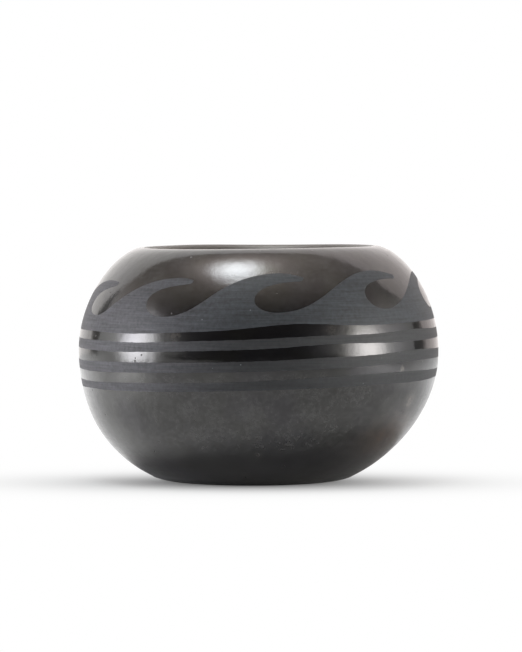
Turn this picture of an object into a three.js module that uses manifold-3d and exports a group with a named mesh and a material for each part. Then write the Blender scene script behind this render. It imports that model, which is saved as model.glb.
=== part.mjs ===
// A hand-built blackware bowl: a pressed base, five wall coils and a rim coil of clay, a burnished slip skin
// over the outside and the lip, and a frieze of curling waves above three stripes painted in matte slip.
// Millimetres, +Z up, standing on z = 0. Azimuth 0 is the front (-Y) and azimuth grows towards +X.
import * as THREE from "three";
import { mergeVertices } from "three/addons/utils/BufferGeometryUtils.js";
import Module from "manifold-3d";

const wasm = await Module();
wasm.setup();

// Outer surface
const HEIGHT = 82.5; // at the highest point of the lip
const BELLY_RADIUS = 63.5;
const BELLY_HEIGHT = 45;
const FOOT_RADIUS = 32.6;
const FOOT_ANGLE = 22.4; // degrees between the floor and the wall where it leaves the foot
const LIP_RADIUS = 40.7; // at the crest of the lip
const LIP_ROLL = 6.4; // radius of curvature of the shoulder where it meets the crest of the lip
const FOOT_FULLNESS = 0.686; // share of the run from foot to belly that the wall spends leaving the foot
const BELLY_FULLNESS = 0.571; // share of the rise from belly to lip that the wall spends leaving the belly

// Clay wall
const WALL_THICKNESS = 5.2;
const LIP_THICKNESS = 4;
const BASE_RUN = 17; // length of wall that is pressed up with the base
const WALL_COILS = 5; // between the base and the rim coil

// Skins on the clay
const SLIP_THICKNESS = 0.3;
const BARE_FOOT = 1.5; // length of wall above the foot that the slip leaves bare
const PAINT_THICKNESS = 0.2;
const PAINT_GAP = 0.05; // clearance that keeps the paint and the slip apart

// Set of the hand-built body
const BASE_SHIFT = 2.2; // the foot stands this far to -X of the axis of the belly

// Painting, with heights on the axis
const PAINT_RISE = 1.8; // every painted line climbs this much from the axis to the belly at +X
const STRIPE_WIDTH = 3.4;
const STRIPE_PITCH = 7; // from one stripe to the next
const UPPER_STRIPE_ABOVE_BELLY = 5.6; // middle of the upper stripe
const FRIEZE_ABOVE_BELLY = 10.4; // lower edge of the frieze
const TROUGH_ABOVE_FRIEZE = 4.9; // lowest points between the waves, from the lower edge of the frieze
const CREST_BELOW_LIP = 9; // top of the waves
const EYE_SHARE = 0.39; // height of the eye of a wave between the troughs and the crests
const TONGUE_SHARE = 0.87; // height of the tip of a wave between the troughs and the crests
const TIP_THICKNESS = 1.35; // the tongue's blunt end
const WAVE_EYES = [-74.6, -40.2, -1.4, 38.8, 75.6, 117.6, 160, 202.2, 244.2]; // azimuth in degrees, hand spaced
const TROUGH_LEAD = 8; // degrees from an eye to the trough after it
const CREST_LEAD = 7.8; // degrees from an eye to the crest over it
const TIP_LEAD = 17.2; // degrees from an eye to the tip of the tongue
const TIP_LEAN = 0.7; // degrees that the lower corner of the tip lies behind the upper one
const WAVE_OVERLAP = 2; // degrees that the foot of a wave runs on under the next one

// Facets
const SEGMENTS = 64;
const ROWS = 2; // along each coil
const LIP_ROWS = 4; // round the lip
const WAVE_STEPS = 5; // along each curve of a wave
const WELD = 1e-3;
const SLIVER = 0.005; // facets thinner than this are merged after a cut

const profile = outerProfile();
const profileLength = profile.getLength();
const slipStart = BARE_FOOT / profileLength;
const joints = split(BASE_RUN / profileLength, 1, WALL_COILS + 1);
const MASK_REACH = 1.2 * BELLY_RADIUS; // clear of the painted surface all round

const clay = new THREE.MeshStandardMaterial({ name: "clay", color: "#2f2c29", roughness: 0.85 });
const polish = new THREE.MeshStandardMaterial({ name: "burnished slip", color: "#161413", roughness: 0.15 });
const paint = new THREE.MeshStandardMaterial({ name: "matte slip", color: "#4d4d4f", roughness: 0.7 });

// The outer surface from the foot edge to the crest of the lip, x the radius and y the height. Two curves meet at
// the belly with an upright tangent and equal curvature.
function outerProfile() {
  const footRun = FOOT_FULLNESS * (BELLY_RADIUS - FOOT_RADIUS);
  const footRise = footRun * Math.tan(THREE.MathUtils.degToRad(FOOT_ANGLE));
  const bellyRise = BELLY_FULLNESS * (HEIGHT - BELLY_HEIGHT);
  const lipRun = Math.sqrt((2 / 3) * (HEIGHT - BELLY_HEIGHT - bellyRise) * LIP_ROLL);
  const lowerBulge = BELLY_RADIUS - FOOT_RADIUS - footRun;
  const upperBulge = BELLY_RADIUS - LIP_RADIUS - lipRun;
  const bellyDrop = bellyRise * Math.sqrt(lowerBulge / upperBulge);
  const foot = new THREE.Vector2(FOOT_RADIUS, 0);
  const footHandle = new THREE.Vector2(FOOT_RADIUS + footRun, footRise);
  const bellyUnder = new THREE.Vector2(BELLY_RADIUS, BELLY_HEIGHT - bellyDrop);
  const belly = new THREE.Vector2(BELLY_RADIUS, BELLY_HEIGHT);
  const bellyOver = new THREE.Vector2(BELLY_RADIUS, BELLY_HEIGHT + bellyRise);
  const lipHandle = new THREE.Vector2(LIP_RADIUS + lipRun, HEIGHT);
  const lip = new THREE.Vector2(LIP_RADIUS, HEIGHT);
  const path = new THREE.CurvePath();
  path.add(new THREE.CubicBezierCurve(foot, footHandle, bellyUnder, belly));
  path.add(new THREE.CubicBezierCurve(belly, bellyOver, lipHandle, lip));
  return path;
}

// Equal steps from start to end, both included.
function split(start, end, steps) {
  return Array.from({ length: steps + 1 }, (_, i) => THREE.MathUtils.lerp(start, end, i / steps));
}

// The point of the outer surface at t, moved square to it into the clay by depth.
function inset(t, depth) {
  const point = profile.getPoint(t);
  const along = profile.getTangent(t);
  return new THREE.Vector2(point.x - along.y * depth, point.y + along.x * depth);
}

const clayFace = (t) => inset(t, SLIP_THICKNESS);

// The inside of the bowl: the wall thins to the lip.
function innerFace(t) {
  const wall = THREE.MathUtils.lerp(WALL_THICKNESS, LIP_THICKNESS, THREE.MathUtils.smoothstep(t, joints[0], 1));
  return inset(t, SLIP_THICKNESS + wall);
}

// Half a turn round the middle of the lip, from the crest over the mouth and under.
function lipTurn(radius) {
  const middle = inset(1, SLIP_THICKNESS + LIP_THICKNESS / 2);
  return split(Math.PI / 2, 1.5 * Math.PI, LIP_ROWS).map(
    (turn) => new THREE.Vector2(middle.x + radius * Math.cos(turn), middle.y + radius * Math.sin(turn)),
  );
}

// The clay's own turn, without its two ends on the outside and the inside of the wall.
const clayLip = () => lipTurn(LIP_THICKNESS / 2).slice(1, -1);

// A closed loop of profile points turned once round the axis, welded, without collapsed triangles.
function revolve(loop) {
  const turned = new THREE.LatheGeometry([...loop, loop[0]], SEGMENTS).rotateX(Math.PI / 2);
  turned.deleteAttribute("normal");
  turned.deleteAttribute("uv");
  const welded = mergeVertices(turned, WELD);
  const corners = [...welded.index.array];
  const whole = [];
  for (let i = 0; i < corners.length; i += 3) {
    const triangle = corners.slice(i, i + 3);
    if (new Set(triangle).size === 3) whole.push(...triangle);
  }
  return welded.setIndex(whole);
}

function solidOf(geometry) {
  const bare = geometry.clone();
  bare.deleteAttribute("normal");
  bare.deleteAttribute("uv");
  const welded = mergeVertices(bare, WELD);
  const triVerts = new Uint32Array(welded.index.array);
  return new wasm.Manifold(new wasm.Mesh({ numProp: 3, vertProperties: welded.attributes.position.array, triVerts }));
}

function geometryOf(solid) {
  const { vertProperties, triVerts } = solid.getMesh();
  const geometry = new THREE.BufferGeometry();
  geometry.setAttribute("position", new THREE.BufferAttribute(vertProperties, 3));
  return geometry.setIndex(new THREE.BufferAttribute(triVerts, 1));
}

// The set of the hand-built body: below the belly it eases over to -X, level by level.
function settle(geometry) {
  const place = geometry.attributes.position;
  for (let i = 0; i < place.count; i += 1) {
    const shift = BASE_SHIFT * (1 - THREE.MathUtils.smootherstep(place.getZ(i), 0, BELLY_HEIGHT));
    place.setX(i, place.getX(i) - shift);
  }
  return geometry;
}

function pressedBase() {
  const raised = split(slipStart, joints[0], ROWS);
  const outside = [new THREE.Vector2(0, 0), profile.getPoint(0), ...raised.map(clayFace)];
  const inside = split(joints[0], 0, ROWS + 1).map(innerFace);
  return revolve([...outside, ...inside, new THREE.Vector2(0, inside.at(-1).y)]);
}

function coil(start, end, turn = []) {
  const rows = split(start, end, ROWS);
  return revolve([...rows.map(clayFace), ...turn, ...rows.reverse().map(innerFace)]);
}

function rimCoil(start) {
  return coil(start, 1, clayLip());
}

// Every row of the clay's outside that the slip covers.
function slipRows() {
  const rows = split(slipStart, joints[0], ROWS);
  joints.slice(1).forEach((end, i) => rows.push(...split(joints[i], end, ROWS).slice(1)));
  return rows;
}

function slipSkin() {
  const rows = slipRows();
  const face = [...rows.map((t) => inset(t, 0)), ...lipTurn(LIP_THICKNESS / 2 + SLIP_THICKNESS).slice(1)];
  const back = [...rows.map(clayFace), ...clayLip(), innerFace(1)];
  return revolve([...face, ...back.reverse()]);
}

// A coat of matte slip over the whole outside, which the masks cut to the painted shapes.
function paintCoat() {
  const rows = slipRows();
  const face = rows.map((t) => inset(t, -PAINT_GAP - PAINT_THICKNESS));
  const back = rows.map((t) => inset(t, -PAINT_GAP));
  return solidOf(revolve([...face, ...back.reverse()]));
}

// A mask made about the upright axis, tilted as all the painted lines are.
function tilted(mask) {
  return solidOf(mask.rotateY(-Math.atan2(PAINT_RISE, BELLY_RADIUS)));
}

function stripeMask(height) {
  const slab = new THREE.CylinderGeometry(MASK_REACH, MASK_REACH, STRIPE_WIDTH, SEGMENTS);
  return tilted(slab.rotateX(Math.PI / 2).translate(0, 0, height));
}

// One wave as an outline of azimuth and height, from the trough before it, up its back, over the crest to the tip,
// and back under the tongue into the eye and down to the trough after it.
function waveOutline(eye, troughBefore) {
  const bottom = BELLY_HEIGHT + FRIEZE_ABOVE_BELLY;
  const trough = bottom + TROUGH_ABOVE_FRIEZE;
  const crest = HEIGHT - CREST_BELOW_LIP;
  const rise = crest - trough;
  const eyeHeight = trough + EYE_SHARE * rise;
  const tip = trough + TONGUE_SHARE * rise;
  const troughAfter = eye + TROUGH_LEAD;
  const crestAt = eye + CREST_LEAD;
  const tipAt = eye + TIP_LEAD;
  const run = crestAt - troughBefore;
  const tongue = tipAt - crestAt;
  const outline = new THREE.Shape();
  outline.moveTo(troughBefore, bottom);
  outline.lineTo(troughBefore, trough);
  outline.bezierCurveTo(troughBefore + 0.27 * run, trough, crestAt - 0.46 * run, crest, crestAt, crest);
  outline.bezierCurveTo(crestAt + 0.4 * tongue, crest, tipAt - 0.25 * tongue, tip + 0.07 * rise, tipAt, tip);
  const tipUnder = tip - TIP_THICKNESS;
  outline.lineTo(tipAt - TIP_LEAN, tipUnder);
  outline.bezierCurveTo(eye + 0.5 * TIP_LEAD, tipUnder, eye, eyeHeight + 0.35 * rise, eye, eyeHeight);
  outline.bezierCurveTo(eye, eyeHeight - 0.27 * rise, eye + 0.44 * TROUGH_LEAD, trough, troughAfter, trough);
  outline.lineTo(troughAfter + WAVE_OVERLAP, bottom);
  return outline;
}

// The outline carried outwards from inside the wall to well outside it.
function waveMask(eye, troughBefore) {
  const block = new THREE.ExtrudeGeometry(waveOutline(eye, troughBefore), {
    depth: 1,
    bevelEnabled: false,
    curveSegments: WAVE_STEPS,
  });
  const place = block.attributes.position;
  for (let i = 0; i < place.count; i += 1) {
    const azimuth = THREE.MathUtils.degToRad(place.getX(i));
    const reach = THREE.MathUtils.lerp(LIP_RADIUS, MASK_REACH, place.getZ(i));
    place.setXYZ(i, reach * Math.sin(azimuth), -reach * Math.cos(azimuth), place.getY(i));
  }
  return tilted(block);
}

function friezeMask() {
  const last = WAVE_EYES.at(-1) - 360;
  const before = [last, ...WAVE_EYES.slice(0, -1)].map((eye) => eye + TROUGH_LEAD);
  return wasm.Manifold.union(WAVE_EYES.map((eye, i) => waveMask(eye, before[i])));
}

const bowl = new THREE.Group();
bowl.name = "blackware_bowl";

function addPiece(name, geometry, material) {
  const piece = new THREE.Mesh(settle(geometry), material);
  piece.name = name;
  bowl.add(piece);
}

addPiece("base_pat", pressedBase(), clay);
for (let i = 0; i < WALL_COILS; i += 1) {
  addPiece(`wall_coil_${i + 1}`, coil(joints[i], joints[i + 1]), clay);
}
addPiece("rim_coil", rimCoil(joints[WALL_COILS]), clay);
addPiece("polished_slip", slipSkin(), polish);

const coat = paintCoat();
const painted = (mask) => geometryOf(coat.intersect(mask).simplify(SLIVER));
addPiece("wave_frieze", painted(friezeMask()), paint);
["upper", "middle", "lower"].forEach((name, i) => {
  const height = BELLY_HEIGHT + UPPER_STRIPE_ABOVE_BELLY - i * STRIPE_PITCH;
  addPiece(`matte_stripe_${name}`, painted(stripeMask(height)), paint);
});

export default bowl;
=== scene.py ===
"""A hand-built blackware bowl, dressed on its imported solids: clay, slips, matte painting and a studio.

Metres, +Z up. Azimuth 0 is the front (-Y) and azimuth grows towards +X, as in the solids.
"""
import functools
import math

import bpy
import numpy as np
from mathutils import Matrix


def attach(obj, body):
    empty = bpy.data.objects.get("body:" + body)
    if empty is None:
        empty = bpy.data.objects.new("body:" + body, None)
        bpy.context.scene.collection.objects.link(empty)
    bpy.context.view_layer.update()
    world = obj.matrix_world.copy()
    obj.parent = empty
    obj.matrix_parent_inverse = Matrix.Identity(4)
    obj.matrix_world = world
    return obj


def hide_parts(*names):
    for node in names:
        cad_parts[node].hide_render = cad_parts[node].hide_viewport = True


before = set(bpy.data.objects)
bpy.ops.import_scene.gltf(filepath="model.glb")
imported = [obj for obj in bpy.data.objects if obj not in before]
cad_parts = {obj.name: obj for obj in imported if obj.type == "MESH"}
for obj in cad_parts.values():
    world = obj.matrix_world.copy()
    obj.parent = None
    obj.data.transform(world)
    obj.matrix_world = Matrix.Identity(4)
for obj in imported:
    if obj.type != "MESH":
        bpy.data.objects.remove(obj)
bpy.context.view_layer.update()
MM = 0.001

bl_info = {
    "name": "Blackware Bowl",
    "version": (1, 0, 0),
    "blender": (4, 5, 0),
    "location": "3D View > Sidebar > Bowl",
    "description": "Coil-built bowl with a burnished slip skin and a matte painted frieze",
    "category": "Add Mesh",
}

# Mesh steps
TURN_STEPS = 384  # round the bowl
WALL_STEPS = 900  # fine table of the wall's profile
FOOT_STEPS = 24  # round the soft edge of the foot
EDGE_STEPS = 10  # along the bare part of that edge
COIL_STEPS = 14  # up each face of a coil
FLOOR_STEPS = 24  # down the inside of the base
FLAT_STEPS = 7  # across the flat of the inner floor
SKIN_STEPS = 150  # up the burnished skin
SKIN_LIP_STEPS = 24  # over the lip of the skin
LIP_STEPS = 12  # over the lip of the clay
PAINT_STEPS = 9  # across a stripe or the band under the waves
WAVE_COLUMNS = 24  # across each wave
WAVE_ROWS = 40  # along each wave
SHARP_ANGLE = math.radians(50)  # an edge that turns by more than this stays sharp

# Height in mm of each painted edge at the front, and the hand's wobbles along it: azimuth and half width
# in degrees, rise in mm
FRIEZE_FOOT = (55.15, [(11, 17, 1.75), (-44, 14, -0.5), (150, 30, 0.9), (-130, 25, 0.6)])
STRIPE_EDGES = {
    "matte_stripe_upper": (
        (48.75, [(24, 18, 0.95), (-50, 20, -0.4), (140, 30, 0.5)]),
        (52.10, [(18, 18, 0.5), (58, 14, 0.7), (-42, 14, -0.45), (170, 30, 0.5)]),
    ),
    "matte_stripe_middle": (
        (41.40, [(62, 22, 0.6), (-62, 14, -0.25), (-140, 25, 0.4)]),
        (44.85, [(57, 18, 0.95), (22, 12, 0.4), (-75, 12, -0.3), (-150, 25, 0.5)]),
    ),
    "matte_stripe_lower": (
        (34.95, [(62, 14, -0.3), (-70, 10, 0.2), (160, 25, 0.3)]),
        (37.80, [(30, 30, 0.9), (54, 15, 0.35), (-64, 14, -0.2), (-135, 25, 0.4)]),
    ),
}

# Fine raggedness of a painted edge: size in mm, waves round the bowl, start per mm of the edge's height
RAGGED = [(0.03, 41, 1), (0.025, 97, 3), (0.015, 173, 0)]

# Each wave as painted, in degrees and mm: azimuth and height of its eye, lead over the eye and height of
# its crest, lead and height of its tip, height of the trough after it, and the shares of its back's run
# that keep to the trough and to the crest
WAVES = [
    (-74.6, 63.9, 7.5, 72.8, 14.6, 72.3, 60.6, 0.27, 0.46),
    (-40.2, 65.5, 10.4, 73.5, 16.2, 72.7, 60.4, 0.27, 0.6),
    (-1.4, 65.2, 7.8, 73.7, 17.4, 72.1, 60.8, 0.38, 0.6),
    (38.8, 65.2, 6.8, 72.9, 19.5, 71.1, 60.2, 0.38, 0.48),
    (75.6, 63.8, 8.0, 71.2, 17.0, 70.6, 59.0, 0.27, 0.46),
    (117.6, 65.0, 7.6, 73.2, 17.4, 72.0, 60.3, 0.3, 0.5),
    (160.0, 65.4, 8.4, 73.5, 16.8, 72.4, 60.5, 0.27, 0.55),
    (202.2, 65.1, 7.4, 73.8, 18.2, 71.7, 60.2, 0.33, 0.5),
    (244.2, 65.3, 8.0, 73.3, 17.0, 72.1, 60.5, 0.27, 0.5),
]
TROUGH_LEAD = 8.0  # degrees from a wave's eye to the trough after it
TIP_THICKNESS = 1.35  # mm, because a loaded brush ends its stroke blunt
TIP_SLANT = 0.7  # degrees by which the tip's lower corner stays behind
TIP_SWELL = 0.5  # degrees by which the tip's end swells out between its corners
BACK_SHARE = 0.7  # share of a wave's outer rows up its back, before the crest
HOLLOW_SHARE = 0.45  # share of its inner rows up the hollow, before the eye

# Slow swells that the hand leaves: size in mm, waves round the bowl, waves per metre of height, start
SWELLS = [
    (0.10, 2, 9.0, 0.4),
    (0.07, 3, 14.0, 2.1),
    (0.035, 5, 22.0, 4.0),
    (0.025, 7, 31.0, 1.1),
    (0.02, 11, 43.0, 5.2),
]
SWELL_INSET = 0.05  # mm that the swollen wall is drawn in, so that it keeps to its size

# Where the lip stands a little high or low: azimuth and half width in degrees, rise in mm
LIP_WOBBLES = [
    (180, 34, -0.3),
    (36, 26, 0.22),
    (-150, 22, 0.2),
    (-95, 25, 0.1),
    (-4, 27, 0.22),
    (158, 20, -0.1),
]

# Pale scuffs on the burnished skin, the first two also painted highlights standing in for glints: azimuth
# in degrees, height and radius in mm, share of bare clay
SCUFFS_AND_GLINTS = [
    (60.0, 29.4, 4.2, 0.42),
    (51.0, 40.6, 1.6, 0.55),
    (2.0, 12.2, 1.6, 0.12),
    (-27.1, 53.1, 2.8, 0.2),
    (23.4, 55.5, 3.3, 0.12),
    (-128, 22, 1.8, 0.3),
    (152, 31, 1.5, 0.3),
]

# Single larger pits: azimuth in degrees, height and radius in mm
PITS = [(-41.6, 44.0, 0.6), (-41.5, 45.1, 0.32), (-38.9, 46.2, 0.45), (74, 30.5, 0.5), (-165, 47, 0.5)]

# Where the skin's wear eases in or out, as heights in mm
DULL_FOOT = (30, 36)  # a little dull below
MOTTLE_TOP = (37.5, 44.5)  # mottled below
# Below this the skin is drawn darker towards the foot: less mottle, partly painted shade from under the
# belly
MOTTLE_FOOT = (6, 19)  # less mottled below
SHOULDER_WEAR = ((56, 62), (66, 73))  # mottled again above, in two steps

# Brown cloud that the fire left: azimuth and half width in degrees, height and half height in mm
SCORCH = (58, 13, 17, 7)

# Outlines of the paper sheet behind the bowl and of the dark sheet behind its foot that stands in for
# shade, as x and z in metres
BACKDROP_OUTLINE = [
    (-0.78, 0.0), (0.84, 0.0), (0.92, 0.3), (1.32, 0.68), (1.58, 1.0), (1.68, 1.32), (1.58, 1.56),
    (1.3, 1.69), (1.0, 1.72), (0.7, 1.61), (0.45, 1.44), (0.25, 1.29), (0.0, 1.23), (-0.3, 1.12),
    (-0.7, 1.07), (-0.95, 1.04), (-1.05, 0.95), (-1.02, 0.74), (-0.95, 0.58), (-0.86, 0.44),
    (-0.78, 0.3),
]
SHADE_SHEET_OUTLINE = [
    (-1.18, 0.0), (1.42, 0.0), (1.42, 0.34), (-0.7, 0.34), (-0.86, 0.62), (-1.04, 0.66),
    (-1.08, 0.44), (-1.18, 0.3),
]
BACKDROP_Y = 0.72
SHADE_SHEET_Y = 0.74
FLOOR_HALF = 6.0  # half the side of the floor in metres

# Glow on the studio's walls round the lamps: azimuth and rise in degrees, sharpness, strength
GLOWS = [
    (-90, 8, 6, 0.9),
    (-106, 26, 25, 0.8),
    (-101, 5, 24, 1.25),
    (-59, 5, 50, 0.6),
    (85, 5, 5, 1.0),
    (94, 6, 22, 1.25),
    (50, 8, 60, 0.4),
    (-55, 80, 8, 0.45),
]

# Overhead panels: middle, half width and half depth in metres, steepness of the edge
TOP_LAMP = ((-0.165, -0.15, 0.95), 0.148, 0.19, 1.35)
TOP_HALO = ((-0.15, -0.1, 0.96), 0.23, 0.25, 1.0)

# Strip lamps: azimuth in degrees, half width, half height and height of the middle in metres
LEFT_LAMP = (-79, 0.095, 0.138, 0.095)
RIGHT_LAMP = (70, 0.098, 0.132, 0.07)
STRIP_DISTANCE = 0.5
STRIP_EDGE = 1.2  # steepness of their edges
LAMP_HALVINGS = 6.64  # halvings of the light at the end of a lamp's panel, so that a hundredth is left

# The painted shadow round the foot for the camera and the painted shade under the belly for shiny walls:
# middle and half sizes along x and y in metres
PAINTED_SHADOW = ((-0.005, -0.017), (0.0645, 0.0347))
SHADE = ((0.011, 0.0), (0.074, 0.074))
SHADE_CORE = 0.72  # share of the shade's half size that is dark throughout

# Pools of light on the floor for shiny walls: x and y, squeeze along y, reach in metres, strength
POOLS = [
    (-0.265, -0.045, 2, 0.2, 2.0),
    (0.275, -0.075, 1.2, 0.19, 1.5),
    (-0.25, 0.15, 1, 0.28, 0.4),
    (0.25, 0.15, 1, 0.28, 0.35),
]

# The mirrored floor's light from left to right, what is added behind, and how it dims far behind, past
# the table's edge and in front: from and to in metres, light or factor at both
FLOOR_ACROSS = (-0.11, 0.05, 1.18, 0.88)
FLOOR_BEHIND = (-0.08, 0.15, 0, 0.15)
FLOOR_FADES = [(0.48, 0.6, 1, 0.75), (-0.66, -0.5, 0.07, 1), (-0.25, -0.08, 0.8, 1)]


def linear(hex_colour):
    """An sRGB hex colour as linear red, green and blue."""
    code = np.array([int(hex_colour[i : i + 2], 16) for i in (1, 3, 5)]) / 255
    return tuple(np.where(code <= 0.04045, code / 12.92, ((code + 0.055) / 1.055) ** 2.4).tolist())


def length(name, description, default):
    """A property in metres."""
    return bpy.props.FloatProperty(
        name=name, description=description, default=default, unit="LENGTH", precision=5
    )


def share(name, description, default):
    """A property from 0 to 1."""
    return bpy.props.FloatProperty(
        name=name, description=description, default=default, min=0, max=1, subtype="FACTOR"
    )


def angle(name, description, degrees):
    """A property in radians, given in degrees."""
    return bpy.props.FloatProperty(
        name=name, description=description, default=math.radians(degrees), subtype="ANGLE"
    )


def colour(name, description, hex_colour):
    """A colour property."""
    return bpy.props.FloatVectorProperty(
        name=name, description=description, default=linear(hex_colour), subtype="COLOR", min=0, max=1
    )


def brightness(name, description, default):
    """A property for a radiance, where 1 is white."""
    return bpy.props.FloatProperty(name=name, description=description, default=default, min=0)


class BowlBody(bpy.types.PropertyGroup):
    """Sizes of the clay body."""

    height: length("Height", "From the foot to the mean crest of the lip", 82 * MM)
    belly_radius: length("Belly radius", "Widest radius of the outside", 63.5 * MM)
    belly_height: length("Belly height", "Height of the widest circle", 45 * MM)
    foot_radius: length("Foot radius", "Radius of the flat foot", 32.6 * MM)
    foot_angle: angle("Foot angle", "Slope of the wall at the foot", 22.4)
    foot_round: length("Foot round", "Radius of the soft edge between wall and foot", 16 * MM)
    foot_fullness: share("Foot fullness", "Share of the run to the belly that leaves the foot", 0.686)
    belly_fullness: share("Belly fullness", "Share of the rise to the lip that leaves the belly", 0.571)
    lip_radius: length("Lip radius", "Radius of the crest of the lip", 40.7 * MM)
    lip_roll: length("Lip roll", "Radius of curvature of the shoulder at the lip", 6.4 * MM)
    wall: length("Wall", "Thickness of the clay wall", 5.2 * MM)
    lip: length("Lip", "Thickness of the clay at the lip", 4 * MM)
    base_run: length("Base run", "Length of wall pressed up with the base", 17 * MM)
    wall_coils: bpy.props.IntProperty(
        name="Wall coils", description="Coils between base and rim", default=5
    )
    slip: length("Slip", "Thickness of the burnished slip", 0.3 * MM)
    bare_foot: length("Bare foot", "Length of wall above the foot without slip", 1.5 * MM)
    base_shift: length("Base shift", "How far the foot stands to -X of the belly", 2.2 * MM)
    rim_rise: length("Rim rise", "How much higher the lip is at +X", 0.35 * MM)


class BowlPainting(bpy.types.PropertyGroup):
    """Sizes of the matte painting."""

    rise: length("Rise", "How much every painted line climbs towards +X", 1.8 * MM)
    proud: length("Proud", "How far the paint stands off the slip", 0.02 * MM)
    sunk: length("Sunk", "How deep the paint keys into the slip", 0.03 * MM)


class BowlFinish(bpy.types.PropertyGroup):
    """Colours of the clay and the slips."""

    clay: colour("Clay", "Smoke-blackened clay, as wiped smooth inside", "#262322")
    clay_light: colour("Clay, worn", "Grains and rubbed places of the clay", "#3f3934")
    slip: colour("Slip", "Burnished slip", "#080706")
    slip_cool: colour("Slip, cool", "Cool patches in the burnished slip", "#070608")
    film_straw: colour("Film, straw", "Straw tint of the gloss, from smoke in the slip", "#fffefb")
    film_plum: colour("Film, plum", "Plum tint of the gloss, from smoke in the slip", "#fdfbfd")
    slip_worn: colour("Slip, worn", "Paler mottle where the stone passed less", "#303030")
    scorch: colour("Scorch", "Brown cloud that the fire left low on one side", "#41301f")
    # Also painted light: this pale clay stands in for glints at the first two scuffs and for sheen inside
    # the lip
    scuff_and_highlight: colour("Scuff", "Bare clay at the scuffs and where hands rubbed the lip", "#6f6a65")
    matte: colour("Matte slip", "Brushed matte slip of the frieze", "#3b3f44")
    # Painted shade: a darker copy of the matte slip for the stripes, standing in for the upright belly's
    # lesser top light
    matte_stripe_shaded: colour("Matte slip, stripes", "The same slip in one thinner stroke", "#343537")
    # Painted light: a paler matte on the left that stands in for the light of the left lamp
    matte_painted_light_left: colour("Matte slip, full", "Where the brush was fuller, on the left", "#4c4b50")
    matte_thin: colour("Matte slip, thin", "Where a brush stroke ran thin", "#222325")
    mica: colour("Mica", "Flakes of mica in the matte slip", "#6c6f74")


class BowlStudio(bpy.types.PropertyGroup):
    """Lamps, floor and camera."""

    # Painted shadow: the paper is drawn grey where the camera sees the shadow round the foot
    floor: colour("Floor", "White paper floor in the bowl's shadow", "#9a9a9a")
    floor_shade: colour("Floor, shaded", "The floor under the belly, as the bowl mirrors it", "#cecece")
    room: colour("Room", "Warm white of the ceiling", "#fff3e9")
    sheet: colour("Sheet", "Paper backdrop on the left", "#fffcfa")
    sheet_warm: colour("Sheet, warm", "Paper backdrop on the right", "#fff5f2")
    # Painted shade: a dark sheet that stands in for the shade behind the foot of the backdrop
    shade_sheet: colour("Curtain", "Cloth behind the foot of the backdrop", "#888684")
    top_tint: colour("Top tint", "Cool white of the overhead lamp", "#f1fbff")
    left_tint: colour("Left tint", "Faintly lilac white of the left lamp", "#f9f9ff")
    right_tint: colour("Right tint", "Faintly warm white of the right lamp", "#fdfbf6")
    top_light: brightness("Top light", "Radiance in the middle of the overhead soft lamp", 13.2)
    halo_light: brightness("Halo", "Radiance of the glow round the top lamp", 2.8)
    left_light: brightness("Left light", "Radiance in the middle of the left strip lamp", 12.4)
    right_light: brightness("Right light", "Radiance in the middle of the right strip lamp", 12.2)
    front_light: brightness("Front", "Radiance of the dark room in front", 0.07)
    back_light: brightness("Back", "Radiance of the room behind the backdrop", 0.85)
    ceiling_light: brightness("Ceiling", "Radiance of the ceiling overhead", 0.93)
    plain_light: brightness("Plain light", "Even radiance of the room on dull surfaces", 0.4)
    lens: bpy.props.FloatProperty(
        name="Lens", description="Focal length of the camera", default=214.9, unit="CAMERA"
    )
    sensor: bpy.props.FloatProperty(
        name="Sensor", description="Width of the camera's sensor", default=36, unit="CAMERA"
    )
    camera_aside: length("Camera aside", "How far to +X the camera stands", 0.78 * MM)
    camera_distance: length("Camera distance", "How far in front the camera stands", 1.373)
    camera_height: length("Camera height", "How high the camera stands", 0.116)
    camera_tilt: angle("Camera tilt", "How far the camera looks down", 2.588)


def smooth_step(value, low, high):
    """6t^5 - 15t^4 + 10t^3 of the clamped share t of the way from low to high."""
    t = np.clip((value - low) / (high - low), 0, 1)
    return t**3 * (10 - 15 * t + 6 * t * t)


def bezier(start, first, second, end, t):
    """Cubic curve (1-t)^3 a + 3t(1-t)^2 b + 3t^2(1-t) c + t^3 d, one row of coordinates for each t."""
    t = np.asarray(t)[..., None]
    a, b, c, d = (np.asarray(point, float) for point in (start, first, second, end))
    return (1 - t) ** 3 * a + 3 * t * (1 - t) ** 2 * b + 3 * t * t * (1 - t) * c + t**3 * d


def wobble(azimuth, bells):
    """Sum of rise exp(-((azimuth - middle) / half width)^2) over bells, with angles in degrees."""
    total = 0
    for middle, width, rise in bells:
        apart = (np.degrees(azimuth) - middle + 180) % 360 - 180
        total = total + rise * np.exp(-((apart / width) ** 2))
    return total


def once_round(steps):
    """Azimuths in equal steps once round the bowl, as a column."""
    return np.linspace(0, 2 * math.pi, steps, endpoint=False)[:, None]


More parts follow.
